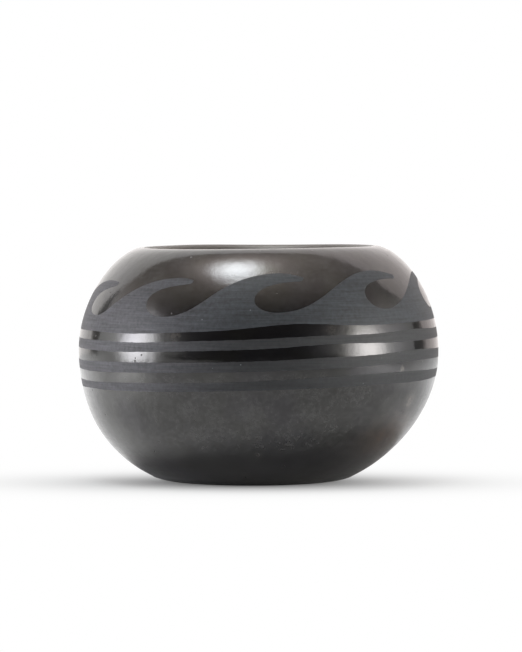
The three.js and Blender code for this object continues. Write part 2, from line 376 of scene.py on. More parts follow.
class Wall:
    """The outside of the bowl as a profile of radius and height against length along it.

    Two cubic curves meet at the belly with an upright tangent and equal curvature. The
    normal points outwards.
    """

    def __init__(self, body):
        foot_run = body.foot_fullness * (body.belly_radius - body.foot_radius)
        foot_rise = foot_run * math.tan(body.foot_angle)
        shoulder = body.height - body.belly_height
        belly_rise = body.belly_fullness * shoulder
        lip_run = math.sqrt(2 / 3 * (shoulder - belly_rise) * body.lip_roll)
        lower_bulge = body.belly_radius - body.foot_radius - foot_run
        upper_bulge = body.belly_radius - body.lip_radius - lip_run
        belly_drop = belly_rise * math.sqrt(lower_bulge / upper_bulge)
        foot = (body.foot_radius, 0)
        belly = (body.belly_radius, body.belly_height)
        lip = (body.lip_radius, body.height)
        t = np.linspace(0, 1, WALL_STEPS)
        lower = bezier(
            foot,
            (body.foot_radius + foot_run, foot_rise),
            (body.belly_radius, body.belly_height - belly_drop),
            belly,
            t,
        )
        upper = bezier(
            belly,
            (body.belly_radius, body.belly_height + belly_rise),
            (body.lip_radius + lip_run, body.height),
            lip,
            t,
        )
        # The foot's edge is an arc that touches floor and wall, and length is still told from the corner
        turn = np.linspace(0, body.foot_angle, FOOT_STEPS)
        reach = body.foot_round * math.tan(body.foot_angle / 2)
        arc = body.foot_round * np.column_stack([np.sin(turn), 1 - np.cos(turn)])
        arc[:, 0] += body.foot_radius - reach
        # The wall goes on past the arc, with a little room so that no step is tiny
        beyond = np.hypot(*(lower - foot).T) > reach * 1.02
        self.path = np.vstack([arc, lower[beyond], upper[1:]])
        step = np.linalg.norm(np.diff(self.path, axis=0), axis=1)
        self.start = reach - body.foot_round * body.foot_angle
        self.run = self.start + np.concatenate([[0], np.cumsum(step)])
        self.end = self.run[-1]
        along = np.gradient(self.path, self.run, axis=0)
        along /= np.linalg.norm(along, axis=1)[:, None]
        self.normal = np.column_stack([along[:, 1], -along[:, 0]])
        self.body = body

    def at_run(self, run, lift=0.0):
        """Radius and height at a length along the profile, moved outwards by lift."""
        point = np.column_stack([np.interp(run, self.run, self.path[:, i]) for i in (0, 1)])
        normal = np.column_stack([np.interp(run, self.run, self.normal[:, i]) for i in (0, 1)])
        return point + normal * lift

    def at_height(self, height, lift):
        """Radius and height at a height of the profile, moved outwards by lift, in arrays of any shape."""
        radius = np.interp(height, self.path[:, 1], self.path[:, 0])
        out = np.interp(height, self.path[:, 1], self.normal[:, 0])
        up = np.interp(height, self.path[:, 1], self.normal[:, 1])
        return radius + out * lift, height + up * lift

    def inside(self, run):
        """The inner face: the wall's thickness under the slip, easing down to the lip's."""
        ease = smooth_step(run, self.body.base_run, self.end)
        thick = self.body.wall + (self.body.lip - self.body.wall) * ease
        return self.at_run(run, (-self.body.slip - thick)[:, None])

    def lip_turn(self, radius, steps):
        """Half a circle of that radius round the lip's middle, from the crest over the mouth and under."""
        turn = np.linspace(0.5, 1.5, steps) * math.pi
        middle = np.array([self.body.lip_radius, self.body.height - self.body.slip - self.body.lip / 2])
        return middle + radius * np.column_stack([np.cos(turn), np.sin(turn)])

    def place(self, azimuth, radius, height):
        """Cylinder coordinates to points, with the slow swells, the foot's shift and the lip's rise.

        The swells are a sum of sin(k azimuth + m height + start). They fade at the foot and near the
        axis, and the shift and the rise ease in with smooth steps.
        """
        swell = -SWELL_INSET
        for size, k, m, start in SWELLS:
            swell = swell + size * np.sin(k * azimuth + 2 * math.pi * m * height + start)
        grip = smooth_step(height, 0, 12 * MM) * smooth_step(radius, 8 * MM, 30 * MM)
        radius = radius + swell * MM * grip
        x = radius * np.sin(azimuth)
        lip = self.body.rim_rise * x / self.body.lip_radius + wobble(azimuth, LIP_WOBBLES) * MM
        rise = lip * smooth_step(height, self.body.belly_height, self.body.height)
        shift = self.body.base_shift * (1 - smooth_step(height, 0, self.body.belly_height))
        return np.stack([x - shift, -radius * np.cos(azimuth), height + rise], axis=-1)

    def on_skin(self, degrees, height):
        """The point of the outside at an azimuth in degrees and a height in mm."""
        return self.place(math.radians(degrees), *self.at_height(height * MM, 0))


def build_mesh(name, points, *face_sets):
    """A smooth mesh from points and sets of faces, each an array with one row of corners for each face."""
    mesh = bpy.data.meshes.new(name)
    corners = np.concatenate([faces.ravel() for faces in face_sets])
    sizes = np.concatenate([np.full(len(faces), faces.shape[1]) for faces in face_sets])
    starts = np.concatenate([[0], np.cumsum(sizes)[:-1]])
    mesh.vertices.add(len(points))
    mesh.vertices.foreach_set("co", points.astype(np.float32).ravel())
    mesh.loops.add(len(corners))
    mesh.loops.foreach_set("vertex_index", corners.astype(np.int32))
    mesh.polygons.add(len(sizes))
    mesh.polygons.foreach_set("loop_start", starts.astype(np.int32))
    mesh.update(calc_edges=True)
    mesh.validate()
    mesh.polygons.foreach_set("use_smooth", np.ones(len(mesh.polygons), bool))
    mesh.set_sharp_from_angle(angle=SHARP_ANGLE)
    return mesh


def grid_quads(rows, columns, wrap_rows=False, wrap_columns=False, first=0):
    """Corners of the quads of a grid of points numbered row by row from first."""
    i = np.arange(rows if wrap_rows else rows - 1)[:, None]
    j = np.arange(columns if wrap_columns else columns - 1)[None, :]
    next_i = (i + 1) % rows
    next_j = (j + 1) % columns
    corners = [i * columns + j, i * columns + next_j, next_i * columns + next_j, next_i * columns + j]
    return np.stack(np.broadcast_arrays(*corners), axis=-1).reshape(-1, 4) + first


def thick_sheet(top, bottom, faces):
    """Points and faces of a closed sheet between two like grids, with a wall along each open edge."""
    count = len(top)
    edges = np.stack([faces, np.roll(faces, -1, axis=1)], axis=-1).reshape(-1, 2)
    ordered = np.sort(edges, axis=1)
    _, where, uses = np.unique(ordered, axis=0, return_index=True, return_counts=True)
    rim = edges[where[uses == 1]]
    wall = np.column_stack([rim[:, 1], rim[:, 0], rim[:, 0] + count, rim[:, 1] + count])
    return np.vstack([top, bottom]), faces, faces[:, ::-1] + count, wall


def turned_ring(wall, loop):
    """Points and faces of a closed loop of radius and height carried once round the axis."""
    points = wall.place(once_round(TURN_STEPS), loop[None, :, 0], loop[None, :, 1])
    return points.reshape(-1, 3), grid_quads(TURN_STEPS, len(loop), True, True)


def turned_dish(wall, line):
    """Points and faces of a line of radius and height carried round the axis, from pole to pole."""
    body = line[1:-1]
    ring = wall.place(once_round(TURN_STEPS), body[None, :, 0], body[None, :, 1]).reshape(-1, 3)
    ends = wall.place(np.zeros(2), line[[0, -1], 0], line[[0, -1], 1])
    count = len(body)
    start = np.arange(TURN_STEPS) * count
    following = np.roll(start, -1)
    pole = TURN_STEPS * count
    below = np.column_stack([np.full(TURN_STEPS, pole), following, start])
    above = np.column_stack([np.full(TURN_STEPS, pole + 1), start + count - 1, following + count - 1])
    return np.vstack([ring, ends]), grid_quads(TURN_STEPS, count, True, False), below, above


def add_piece(name, mesh, material, node):
    """Links a mesh as the piece that stands for a CAD node, riding on the bowl's one body."""
    piece = bpy.data.objects.new(name, mesh)
    bpy.context.scene.collection.objects.link(piece)
    mesh.materials.append(material)
    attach(piece, "root")
    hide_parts(node)


def node(tree, kind, inputs=(), **settings):
    """Adds a shader node with its settings, and links or sets its inputs, by name or in their order.

    A node given as an input stands for its first output in use. A colour is set as opaque.
    """
    made = tree.nodes.new("ShaderNode" + kind)
    for key, value in settings.items():
        setattr(made, key, value)
    pairs = inputs.items() if isinstance(inputs, dict) else enumerate(inputs)
    for key, value in pairs:
        socket = made.inputs[key]
        if isinstance(value, bpy.types.Node):
            value = next(output for output in value.outputs if output.enabled)
        if isinstance(value, bpy.types.NodeSocket):
            tree.links.new(value, socket)
        elif socket.type == "RGBA":
            socket.default_value = (*value[:3], 1)
        else:
            socket.default_value = value
    return made


def new_material(name):
    """A material with an empty node tree, and the function that adds nodes to it."""
    material = bpy.data.materials.new(name)
    material.use_nodes = True
    material.node_tree.nodes.clear()
    return material, functools.partial(node, material.node_tree)


def wiped_clay(finish):
    """Low-fired clay blackened by smoke and wiped by hand: dull, with grains and faint level marks."""
    material, add = new_material("wiped blackened clay")
    place = add("TexCoord").outputs["Object"]
    # Temper grains about 0.6 mm across, and wiping marks 12 mm long and 1 mm high
    grain = add("TexNoise", {"Vector": place, "Scale": 1 / (0.6 * MM), "Detail": 2})
    level = add("Mapping", {"Vector": place, "Scale": (1, 1, 12)})
    wiping = add("TexNoise", {"Vector": level, "Scale": 1 / (12 * MM), "Detail": 3})
    worn = add("MapRange", {"Value": grain, "From Min": 0.5, "From Max": 0.8})
    tone = add("Mix", {"Factor": worn, "A": finish.clay, "B": finish.clay_light}, data_type="RGBA")
    relief = add("Math", (grain, wiping), operation="ADD")
    bump = add("Bump", {"Height": relief, "Strength": 0.6, "Distance": 0.15 * MM})
    shader = add("BsdfPrincipled", {"Base Color": tone, "Roughness": 0.78, "IOR": 1.5, "Normal": bump})
    add("OutputMaterial", {"Surface": shader})
    return material


def sparse_spots(add, place, spacing, radius, kept):
    """A factor that is 1 in round spots: cells a spacing apart, each spot a radius wide, a share kept."""
    cells = add("TexVoronoi", {"Vector": place, "Scale": 1 / spacing})
    edge = radius / spacing
    spot = add(
        "MapRange", {"Value": cells, "From Min": 0.6 * edge, "From Max": edge, "To Min": 1, "To Max": 0}
    )
    draw = add("SeparateColor", (cells.outputs["Color"],))
    chosen = add("Math", (draw, kept), operation="LESS_THAN")
    return add("Math", (spot, chosen), operation="MULTIPLY")


def burnished_slip(finish, scuffs_and_glints, holes):
    """Fine slip rubbed with a stone and fired black: a deep gloss with mottle, patches and rubbing marks.

    The gloss fades over the lip, where the stone could not follow, and the lip is painted paler: partly
    clay that hands wore bare, partly painted sheen. The mottle shows most where the skin is worn. Pits
    stand where a grain of temper fell out, the larger ones at the holes, given as points with a radius.
    Bare clay shows at the scuffs, given with a radius and a share; the first two also stand in for glints
    as painted highlights.
    """
    material, add = new_material("burnished black slip")
    place = add("TexCoord").outputs["Object"]
    # Mottle of 1.5 mm and finer, drawn coarser than the real grain so that it shows, in clouds of 7 mm
    mottle = add("TexNoise", {"Vector": place, "Scale": 1 / (1.5 * MM), "Detail": 2, "Roughness": 0.65})
    clouds = add("TexNoise", {"Vector": place, "Scale": 1 / (7 * MM), "Detail": 2})
    # Shallow facets about 5 mm across that the stone left
    facets = add("TexNoise", {"Vector": place, "Scale": 1 / (5 * MM), "Detail": 1})
    # Drifting patches about 18 mm across
    patches = add("TexNoise", {"Vector": place, "Scale": 1 / (18 * MM), "Detail": 2})
    # Rubbing marks 14 mm long and 0.9 mm high
    level = add("Mapping", {"Vector": place, "Scale": (1, 1, 15)})
    rubbing = add("TexNoise", {"Vector": level, "Scale": 1 / (14 * MM), "Detail": 3})
    # Pits 0.8 mm across, somewhat larger than most real ones so that they show
    pits = sparse_spots(add, place, 6 * MM, 0.4 * MM, 0.6)
    for middle, radius in holes:
        away = add("VectorMath", (place, middle), operation="DISTANCE")
        hole = add(
            "MapRange",
            {"Value": away, "From Min": 0.4 * radius, "From Max": radius, "To Min": 1, "To Max": 0},
        )
        pits = add("Math", (pits, hole), operation="MAXIMUM")
    cool = add("MapRange", {"Value": patches, "From Min": 0.42, "From Max": 0.58})
    ground = add("Mix", {"Factor": cool, "A": finish.slip, "B": finish.slip_cool}, data_type="RGBA")
    film = add("Mix", {"Factor": cool, "A": finish.film_straw, "B": finish.film_plum}, data_type="RGBA")
    cloudy = add("Math", (clouds, 0.9, mottle), operation="MULTIPLY_ADD")
    pale = add("MapRange", {"Value": cloudy, "From Min": 0.73, "From Max": 1.23})
    worn = add("Attribute", attribute_name="worn").outputs["Fac"]
    shown = add("Math", (pale, worn), operation="MULTIPLY")
    burnt = add("Attribute", attribute_name="scorch").outputs["Fac"]
    wear = add("Mix", {"Factor": burnt, "A": finish.slip_worn, "B": finish.scorch}, data_type="RGBA")
    tone = add("Mix", {"Factor": shown, "A": ground, "B": wear}, data_type="RGBA")
    # Each scuff pales the skin towards bare clay; the first two also stand in for glints as painted
    # highlights
    for middle, radius, bare in scuffs_and_glints:
        away = add("VectorMath", (place, middle), operation="DISTANCE")
        ragged = add("Math", (mottle, 2 * radius, away), operation="MULTIPLY_ADD")
        ends = {"From Min": 1.2 * radius, "From Max": 2 * radius, "To Min": bare, "To Max": 0}
        scuff_and_highlight = add("MapRange", {"Value": ragged, **ends})
        tone = add("Mix", {"Factor": scuff_and_highlight, "A": tone, "B": finish.scuff_and_highlight}, data_type="RGBA")
    # Inside the lip the skin is painted paler: bare clay that hands wore, and painted sheen of the lip
    handled_and_sheen = add("Attribute", attribute_name="handled_and_sheen").outputs["Fac"]
    tone = add("Mix", {"Factor": handled_and_sheen, "A": tone, "B": finish.scuff_and_highlight}, data_type="RGBA")
    gloss = add(
        "MapRange", {"Value": rubbing, "From Min": 0.3, "From Max": 0.7, "To Min": 0.1, "To Max": 0.16}
    )
    dull = add("Attribute", attribute_name="dull").outputs["Fac"]
    unrubbed = add("Math", (dull, pits), operation="MAXIMUM")
    rough = add("Math", (unrubbed, 0.35, gloss), operation="MULTIPLY_ADD")
    # Mottle, facets and pits as multiples of the rubbing marks' depth
    relief = rubbing
    for height, depth in ((mottle, 2.0), (facets, 5.6), (pits, -3.2)):
        relief = add("Math", (height, depth, relief), operation="MULTIPLY_ADD")
    bump = add("Bump", {"Height": relief, "Strength": 1, "Distance": 0.0125 * MM})
    shader = add(
        "BsdfPrincipled",
        {"Base Color": tone, "Roughness": rough, "Specular Tint": film, "IOR": 1.6, "Normal": bump},
    )
    add("OutputMaterial", {"Surface": shader})
    return material


def matte_slip(finish, stroke):
    """Slip brushed over the burnished coat and left unpolished: dull grey, streaked along the strokes.

    The coat has the colour given to it, darkened for the stripes as painted shade, and it is painted paler
    on the left as painted light from the left lamp. Flakes of mica in it catch the light as small pale
    dots.
    """
    material, add = new_material("brushed matte slip")
    place = add("TexCoord").outputs["Object"]
    # Faint brush streaks 14 mm long and 0.5 mm high, over grain of 1.3 mm and finer
    level = add("Mapping", {"Vector": place, "Scale": (1, 1, 28)})
    streaks = add("TexNoise", {"Vector": level, "Scale": 1 / (14 * MM), "Detail": 4})
    grain = add("TexNoise", {"Vector": place, "Scale": 1 / (1.3 * MM), "Detail": 2, "Roughness": 0.65})
    relief = add("Math", (streaks, 1.33, grain), operation="MULTIPLY_ADD")
    thin = add("MapRange", {"Value": relief, "From Min": 0.75, "From Max": 1.58})
    # Painted light: the coat is painted paler towards the left, standing in for the left lamp's light
    across = add("SeparateXYZ", (place,)).outputs["X"]
    painted_light_left = add(
        "MapRange",
        {"Value": across, "From Min": -48 * MM, "From Max": -6 * MM, "To Min": 1, "To Max": 0},
    )
    coat = add("Mix", {"Factor": painted_light_left, "A": stroke, "B": finish.matte_painted_light_left}, data_type="RGBA")
    tone = add("Mix", {"Factor": thin, "A": coat, "B": finish.matte_thin}, data_type="RGBA")
    # Mica flakes 0.5 mm across, larger than real ones so that they show
    flakes = sparse_spots(add, place, 3.2 * MM, 0.25 * MM, 0.2)
    tone = add("Mix", {"Factor": flakes, "A": tone, "B": finish.mica}, data_type="RGBA")
    bump = add("Bump", {"Height": relief, "Strength": 0.4, "Distance": 0.03 * MM})
    shader = add("BsdfPrincipled", {"Base Color": tone, "Roughness": 0.57, "IOR": 1.4, "Normal": bump})
    add("OutputMaterial", {"Surface": shader})
    return material


class BOWL_OT_clay(bpy.types.Operator):
    """Makes the pressed base, the wall coils and the rim coil"""

    bl_idname = "bowl.clay"
    bl_label = "Base and coils"

    def execute(self, context):
        body = context.scene.bowl_body
        wall = Wall(body)
        material = wiped_clay(context.scene.bowl_finish)
        joints = np.linspace(body.base_run, wall.end, body.wall_coils + 2)
        # The bare edge ends a little short of the slip
        edge = wall.at_run(np.linspace(wall.start, 0.9 * body.bare_foot, EDGE_STEPS))
        raised = wall.at_run(np.linspace(body.bare_foot, joints[0], COIL_STEPS), -body.slip)
        inside = wall.inside(np.linspace(joints[0], 0, FLOOR_STEPS))
        floor_radius, floor_height = inside[-1]
        flat = np.linspace(floor_radius, 0, FLAT_STEPS + 1)[1:]
        flat = np.column_stack([flat, np.full(FLAT_STEPS, floor_height)])
        line = np.vstack([[0, 0], [body.foot_radius / 2, 0], edge, raised, inside, flat])
        mesh = build_mesh("base_of_pressed_clay", *turned_dish(wall, line))
        add_piece("base_of_pressed_clay", mesh, material, "base_pat")
        for i in range(body.wall_coils):
            rows = np.linspace(joints[i], joints[i + 1], COIL_STEPS)
            loop = np.vstack([wall.at_run(rows, -body.slip), wall.inside(rows[::-1])])
            name = f"coil_of_clay_{i + 1}"
            mesh = build_mesh(name, *turned_ring(wall, loop))
            add_piece(name, mesh, material, f"wall_coil_{i + 1}")
        rows = np.linspace(joints[-2], wall.end, COIL_STEPS)
        turn = wall.lip_turn(body.lip / 2, LIP_STEPS)[1:-1]
        loop = np.vstack([wall.at_run(rows, -body.slip), turn, wall.inside(rows[::-1])])
        mesh = build_mesh("rim_of_rolled_clay", *turned_ring(wall, loop))
        add_piece("rim_of_rolled_clay", mesh, material, "rim_coil")
        return {"FINISHED"}


class BOWL_OT_slip(bpy.types.Operator):
    """Makes the burnished skin of slip over the outside and the lip"""

    bl_idname = "bowl.slip"
    bl_label = "Burnished skin"

    def execute(self, context):
        body = context.scene.bowl_body
        wall = Wall(body)
        rows = np.linspace(body.bare_foot, wall.end, SKIN_STEPS)
        lip = wall.lip_turn(body.lip / 2 + body.slip, SKIN_LIP_STEPS)[1:]
        lip_back = wall.lip_turn(body.lip / 2, LIP_STEPS)[::-1][:-1]
        back = np.vstack([lip_back, wall.at_run(rows[::-3], -body.slip)])
        loop = np.vstack([wall.at_run(rows), lip, back])
        mesh = build_mesh("burnished_skin", *turned_ring(wall, loop))
        height = loop[:, 1] / MM
        # The gloss fades from the crest of the lip inwards, where hands rubbed it, and a little low down
        inwards = smooth_step(np.linspace(0, 1, SKIN_LIP_STEPS)[1:], -0.05, 0.15)
        over = np.concatenate([np.zeros(len(rows)), inwards, np.full(len(back), inwards[-1])])
        low = 1 - smooth_step(height, *DULL_FOOT)
        dull = np.maximum(0.85 * over, 0.25 * low)
        # The mottle shows below the stripes, less towards the foot, where the darker skin is partly
        # painted shade, and again on the shoulder
        grainy = 1 - smooth_step(height, *MOTTLE_TOP)
        rubbed_and_foot_shade = 0.25 + 0.75 * smooth_step(height, *MOTTLE_FOOT)
        shoulder = sum(smooth_step(height, *step) for step in SHOULDER_WEAR)
        worn = np.minimum(0.1 + 0.9 * grainy * rubbed_and_foot_shade + 0.3 * shoulder, 1)
        middle, half_width, scorch_height, half_height = SCORCH
        beside = (np.degrees(once_round(TURN_STEPS)) - middle) / half_width
        above = (height[None, :] - scorch_height) / half_height
        # handled_and_sheen pales the inside of the lip, partly worn clay and partly painted sheen
        for name, values in (
            ("dull", np.tile(dull, TURN_STEPS)),
            ("handled_and_sheen", np.tile(0.5 * over, TURN_STEPS)),
            ("worn", np.tile(worn, TURN_STEPS)),
            ("scorch", np.exp(-(beside**2) - above**2).ravel()),
        ):
            mesh.attributes.new(name, "FLOAT", "POINT").data.foreach_set("value", values)
        scuffs_and_glints = [(wall.on_skin(turn, up), radius * MM, bare) for turn, up, radius, bare in SCUFFS_AND_GLINTS]
        holes = [(wall.on_skin(turn, up), radius * MM) for turn, up, radius in PITS]
        material = burnished_slip(context.scene.bowl_finish, scuffs_and_glints, holes)
        add_piece("burnished_skin", mesh, material, "polished_slip")
        return {"FINISHED"}


def edge_height(edge, azimuth):
    """Height of a painted edge: its line, its wobbles and a fine sum of sin(k azimuth + start)."""
    line, wobbles = edge
    height = line + wobble(azimuth, wobbles)
    for size, k, start in RAGGED:
        height = height + size * np.sin(k * azimuth + start * line)
    return height * MM


def painted_points(wall, painting, azimuth, height, lift):
    """Points of the painting at an azimuth and a height at the front, lines climbing with sin(azimuth)."""
    radius, up = wall.at_height(height + painting.rise * np.sin(azimuth), lift)
    return wall.place(azimuth, radius, up)


class BOWL_OT_stripes(bpy.types.Operator):
    """Makes the three matte stripes"""

    bl_idname = "bowl.stripes"
    bl_label = "Matte stripes"

    def execute(self, context):
        wall = Wall(context.scene.bowl_body)
        painting = context.scene.bowl_painting
        finish = context.scene.bowl_finish
        # The stripes take the darker copy of the matte slip, painted shade for the upright belly
        material = matte_slip(finish, finish.matte_stripe_shaded)
        steps = 2 * TURN_STEPS
        azimuth = once_round(steps)
        up = np.linspace(0, 1, PAINT_STEPS)
        across = np.concatenate([up, up[::-1]])[None, :]
        lift = np.repeat([painting.proud, -painting.sunk], PAINT_STEPS)[None, :]
        faces = grid_quads(steps, 2 * PAINT_STEPS, True, True)
        for name, (lower, upper) in STRIPE_EDGES.items():
            low = edge_height(lower, azimuth)
            high = edge_height(upper, azimuth)
            points = painted_points(wall, painting, azimuth, low + (high - low) * across, lift)
            mesh = build_mesh(name + "_paint", points.reshape(-1, 3), faces)
            add_piece(name + "_paint", mesh, material, name)
        return {"FINISHED"}


def wave_rails(wave, trough_before, height_before):
    """The two sides of a wave as azimuth in degrees and height in mm, from its foot to its tip.

    The outer side climbs the back from the trough before it and runs over the crest. The inner side starts
    at the trough after it, turns in the eye and runs out under the tongue. Each side is two cubic curves.
    """
    eye, eye_height, crest_lead, crest, tip_lead, tip, trough, leaving, reaching = wave
    along = np.linspace(0, 1, WAVE_ROWS + 1)
    crest_at = eye + crest_lead
    tip_at = eye + tip_lead
    run = crest_at - trough_before
    tongue = tip_at - crest_at
    # Shares of the runs and rises place the two middle points of each curve
    back = bezier(
        (trough_before, height_before),
        (trough_before + leaving * run, height_before),
        (crest_at - reaching * run, crest),
        (crest_at, crest),
        np.clip(along / BACK_SHARE, 0, 1),
    )
    brow = bezier(
        (crest_at, crest),
        (crest_at + 0.45 * tongue, crest),
        (tip_at - 0.3 * tongue, tip + 0.35 * (crest - tip)),
        (tip_at, tip),
        np.clip((along - BACK_SHARE) / (1 - BACK_SHARE), 0, 1),
    )
    hollow = bezier(
        (eye + TROUGH_LEAD, trough),
        (eye + 0.44 * TROUGH_LEAD, trough),
        (eye, eye_height - 0.55 * (eye_height - trough)),
        (eye, eye_height),
        np.clip(along / HOLLOW_SHARE, 0, 1),
    )
    under = bezier(
        (eye, eye_height),
        (eye, eye_height + 0.55 * (crest - eye_height)),
        (eye + 0.5 * tip_lead, eye_height + 0.66 * (crest - eye_height)),
        (tip_at - TIP_SLANT, tip - TIP_THICKNESS),
        np.clip((along - HOLLOW_SHARE) / (1 - HOLLOW_SHARE), 0, 1),
    )
    outer = np.where((along < BACK_SHARE)[:, None], back, brow)
    inner = np.where((along < HOLLOW_SHARE)[:, None], hollow, under)
    return outer, inner


class BOWL_OT_frieze(bpy.types.Operator):
    """Makes the painted band of curling waves"""

    bl_idname = "bowl.frieze"
    bl_label = "Wave frieze"

    def execute(self, context):
        wall = Wall(context.scene.bowl_body)
        painting = context.scene.bowl_painting
        finish = context.scene.bowl_finish
        waves = np.array(WAVES)
        troughs = np.column_stack([waves[:, 0] + TROUGH_LEAD, waves[:, 6]])
        before = np.roll(troughs, 1, axis=0)
        before[0, 0] -= 360
        across = np.linspace(0, 1, WAVE_COLUMNS + 1)
        # The band under the waves, whose upper row joins the troughs and is the foot of every wave
        top_row = before[:, None] + (troughs - before)[:, None] * across[None, :-1, None]
        foot, high = top_row.reshape(-1, 2).T
        low = edge_height(FRIEZE_FOOT, np.radians(foot)) / MM
        rows = np.linspace(0, 1, PAINT_STEPS)[:, None]
        columns = len(foot)
        turns = [np.tile(foot, PAINT_STEPS)]
        heights = [(low + (high - low) * rows).ravel()]
        faces = [grid_quads(PAINT_STEPS, columns, False, True)]
        upper_row = (PAINT_STEPS - 1) * columns
        first = PAINT_STEPS * columns
        width = WAVE_COLUMNS + 1
        along = np.linspace(0, 1, WAVE_ROWS + 1)[1:, None]
        for i, wave in enumerate(WAVES):
            outer, inner = wave_rails(wave, *before[i])
            ribs = outer[1:, None] + (inner - outer)[1:, None] * across[None, :, None]
            # The tip's end swells out between its two corners
            swell = TIP_SWELL * along**12 * 4 * across * (1 - across)
            turns.append((ribs[..., 0] + swell).ravel())
            heights.append(ribs[..., 1].ravel())
            shared = upper_row + (i * WAVE_COLUMNS + np.arange(width)) % columns
            own = first + np.arange(width)
            faces.append(np.column_stack([shared[:-1], shared[1:], own[1:], own[:-1]]))
            faces.append(grid_quads(WAVE_ROWS, width, first=first))
            first += WAVE_ROWS * width
        azimuth = np.radians(np.concatenate(turns))
        height = np.concatenate(heights) * MM
        top = painted_points(wall, painting, azimuth, height, painting.proud)
        bottom = painted_points(wall, painting, azimuth, height, -painting.sunk)
        mesh = build_mesh("wave_frieze_paint", *thick_sheet(top, bottom, np.vstack(faces)))
        material = matte_slip(finish, finish.matte)
        add_piece("wave_frieze_paint", mesh, material, "wave_frieze")
        return {"FINISHED"}


def add_plane(name, corners, material):
    """A flat stage piece from its corners."""
    mesh = bpy.data.meshes.new(name)
    mesh.from_pydata(corners, [], [range(len(corners))])
    mesh.materials.append(material)
    plane = bpy.data.objects.new(name, mesh)
    bpy.context.scene.collection.objects.link(plane)
    return plane


def soft_lamp(name, middle, across, up, edge, strength, tint):
    """A soft lamp: a glowing panel unseen by the camera, from its middle and two half sizes as vectors.

    Its radiance is strength times 0.5 to the power r^(2 edge), where r is 1 at the half sizes. The panel
    ends where a hundredth is left, and it adds to the light of the room behind it.
    """
    reach = LAMP_HALVINGS ** (0.5 / edge)
    middle, across, up = (np.array(vector, float) for vector in (middle, across, up))
    signs = [(-1, -1), (1, -1), (1, 1), (-1, 1)]
    corners = [(middle + reach * (i * across + j * up)).tolist() for i, j in signs]
    material, add = new_material(name)
    place = add("TexCoord").outputs["Object"]
    apart = add("VectorMath", (place, middle.tolist()), operation="SUBTRACT")
    squares = []
    for half in (across, up):
        scaled = (half / half.dot(half)).tolist()
        part = add("VectorMath", (apart, scaled), operation="DOT_PRODUCT")
        squares.append(add("Math", (part, part), operation="MULTIPLY"))
    both = add("Math", squares, operation="ADD")
    fall = add("Math", (both, edge), operation="POWER")
    bell = add("Math", (0.5, fall), operation="POWER")
    light = add("Math", (bell, strength), operation="MULTIPLY")
    glow = add("Emission", {"Color": tint, "Strength": light})
    clear = add("BsdfTransparent")
    surface = add("AddShader", (glow, clear))
    add("OutputMaterial", {"Surface": surface})
    add_plane(name, corners, material).visible_camera = False


def white_floor(studio):
    """White paper floor: plain diffuse beside the foot, so it keeps the shadow, and white for the camera
    beyond a bell that shapes and darkens that shadow as a painted shadow.

    Shiny walls mirror painted shade in a disc under the belly and painted light beyond it: brighter paper
    on the left and behind, pools of light under the strip lamps, a dimmer front and the dark past the
    table.
    """
    material, add = new_material("white paper floor")
    place = add("TexCoord").outputs["Object"]
    parts = add("SeparateXYZ", (place,))
    seen = add("LightPath").outputs["Is Camera Ray"]
    # The camera sees the shadow fade over a bell, a painted shadow, and shiny walls see the painted shade
    # end in a soft edge
    spread = []
    for middle, half in (PAINTED_SHADOW, SHADE):
        apart = add("VectorMath", (place, (*middle, 0)), operation="SUBTRACT")
        scale = (1 / half[0], 1 / half[1], 0)
        oval = add("VectorMath", (apart, scale), operation="MULTIPLY")
        spread.append(add("VectorMath", (oval,), operation="LENGTH"))
    square = add("Math", (spread[0], spread[0]), operation="MULTIPLY")
    bell = add("Math", (math.exp(-1), square), operation="POWER")
    lit = add("Math", (1, bell), operation="SUBTRACT")
    open_floor = add(
        "MapRange",
        {"Value": spread[1], "From Min": SHADE_CORE, "From Max": 1},
        interpolation_type="SMOOTHSTEP",
    )
    far = add("Mix", {"Factor": seen, "A": open_floor, "B": lit}, data_type="FLOAT")
    light = add("MapRange", (parts.outputs["X"], *FLOOR_ACROSS))
    for x, y, squeeze, reach, strength in POOLS:
        apart = add("VectorMath", (place, (x, y, 0)), operation="SUBTRACT")
        squeezed = add("VectorMath", (apart, (1, squeeze, 1)), operation="MULTIPLY")
        away = add("VectorMath", (squeezed,), operation="LENGTH")
        pool = add(
            "MapRange",
            {"Value": away, "From Min": 0, "From Max": reach, "To Min": strength, "To Max": 0},
            interpolation_type="SMOOTHSTEP",
        )
        light = add("Math", (pool, light), operation="ADD")
    behind = add("MapRange", (parts.outputs["Y"], *FLOOR_BEHIND))
    light = add("Math", (light, behind), operation="ADD")
    for ends in FLOOR_FADES:
        fade = add("MapRange", (parts.outputs["Y"], *ends))
        light = add("Math", (light, fade), operation="MULTIPLY")
    strength = add("Mix", {"Factor": seen, "A": light, "B": 1}, data_type="FLOAT")
    shaded = add("Mix", {"Factor": seen, "A": studio.floor_shade, "B": studio.floor}, data_type="RGBA")
    paper = add("BsdfDiffuse", {"Color": shaded})
    glow = add("Emission", {"Color": (1, 1, 1), "Strength": strength})
    both = add("MixShader", (far, paper, glow))
    add("OutputMaterial", {"Surface": both})
    return material


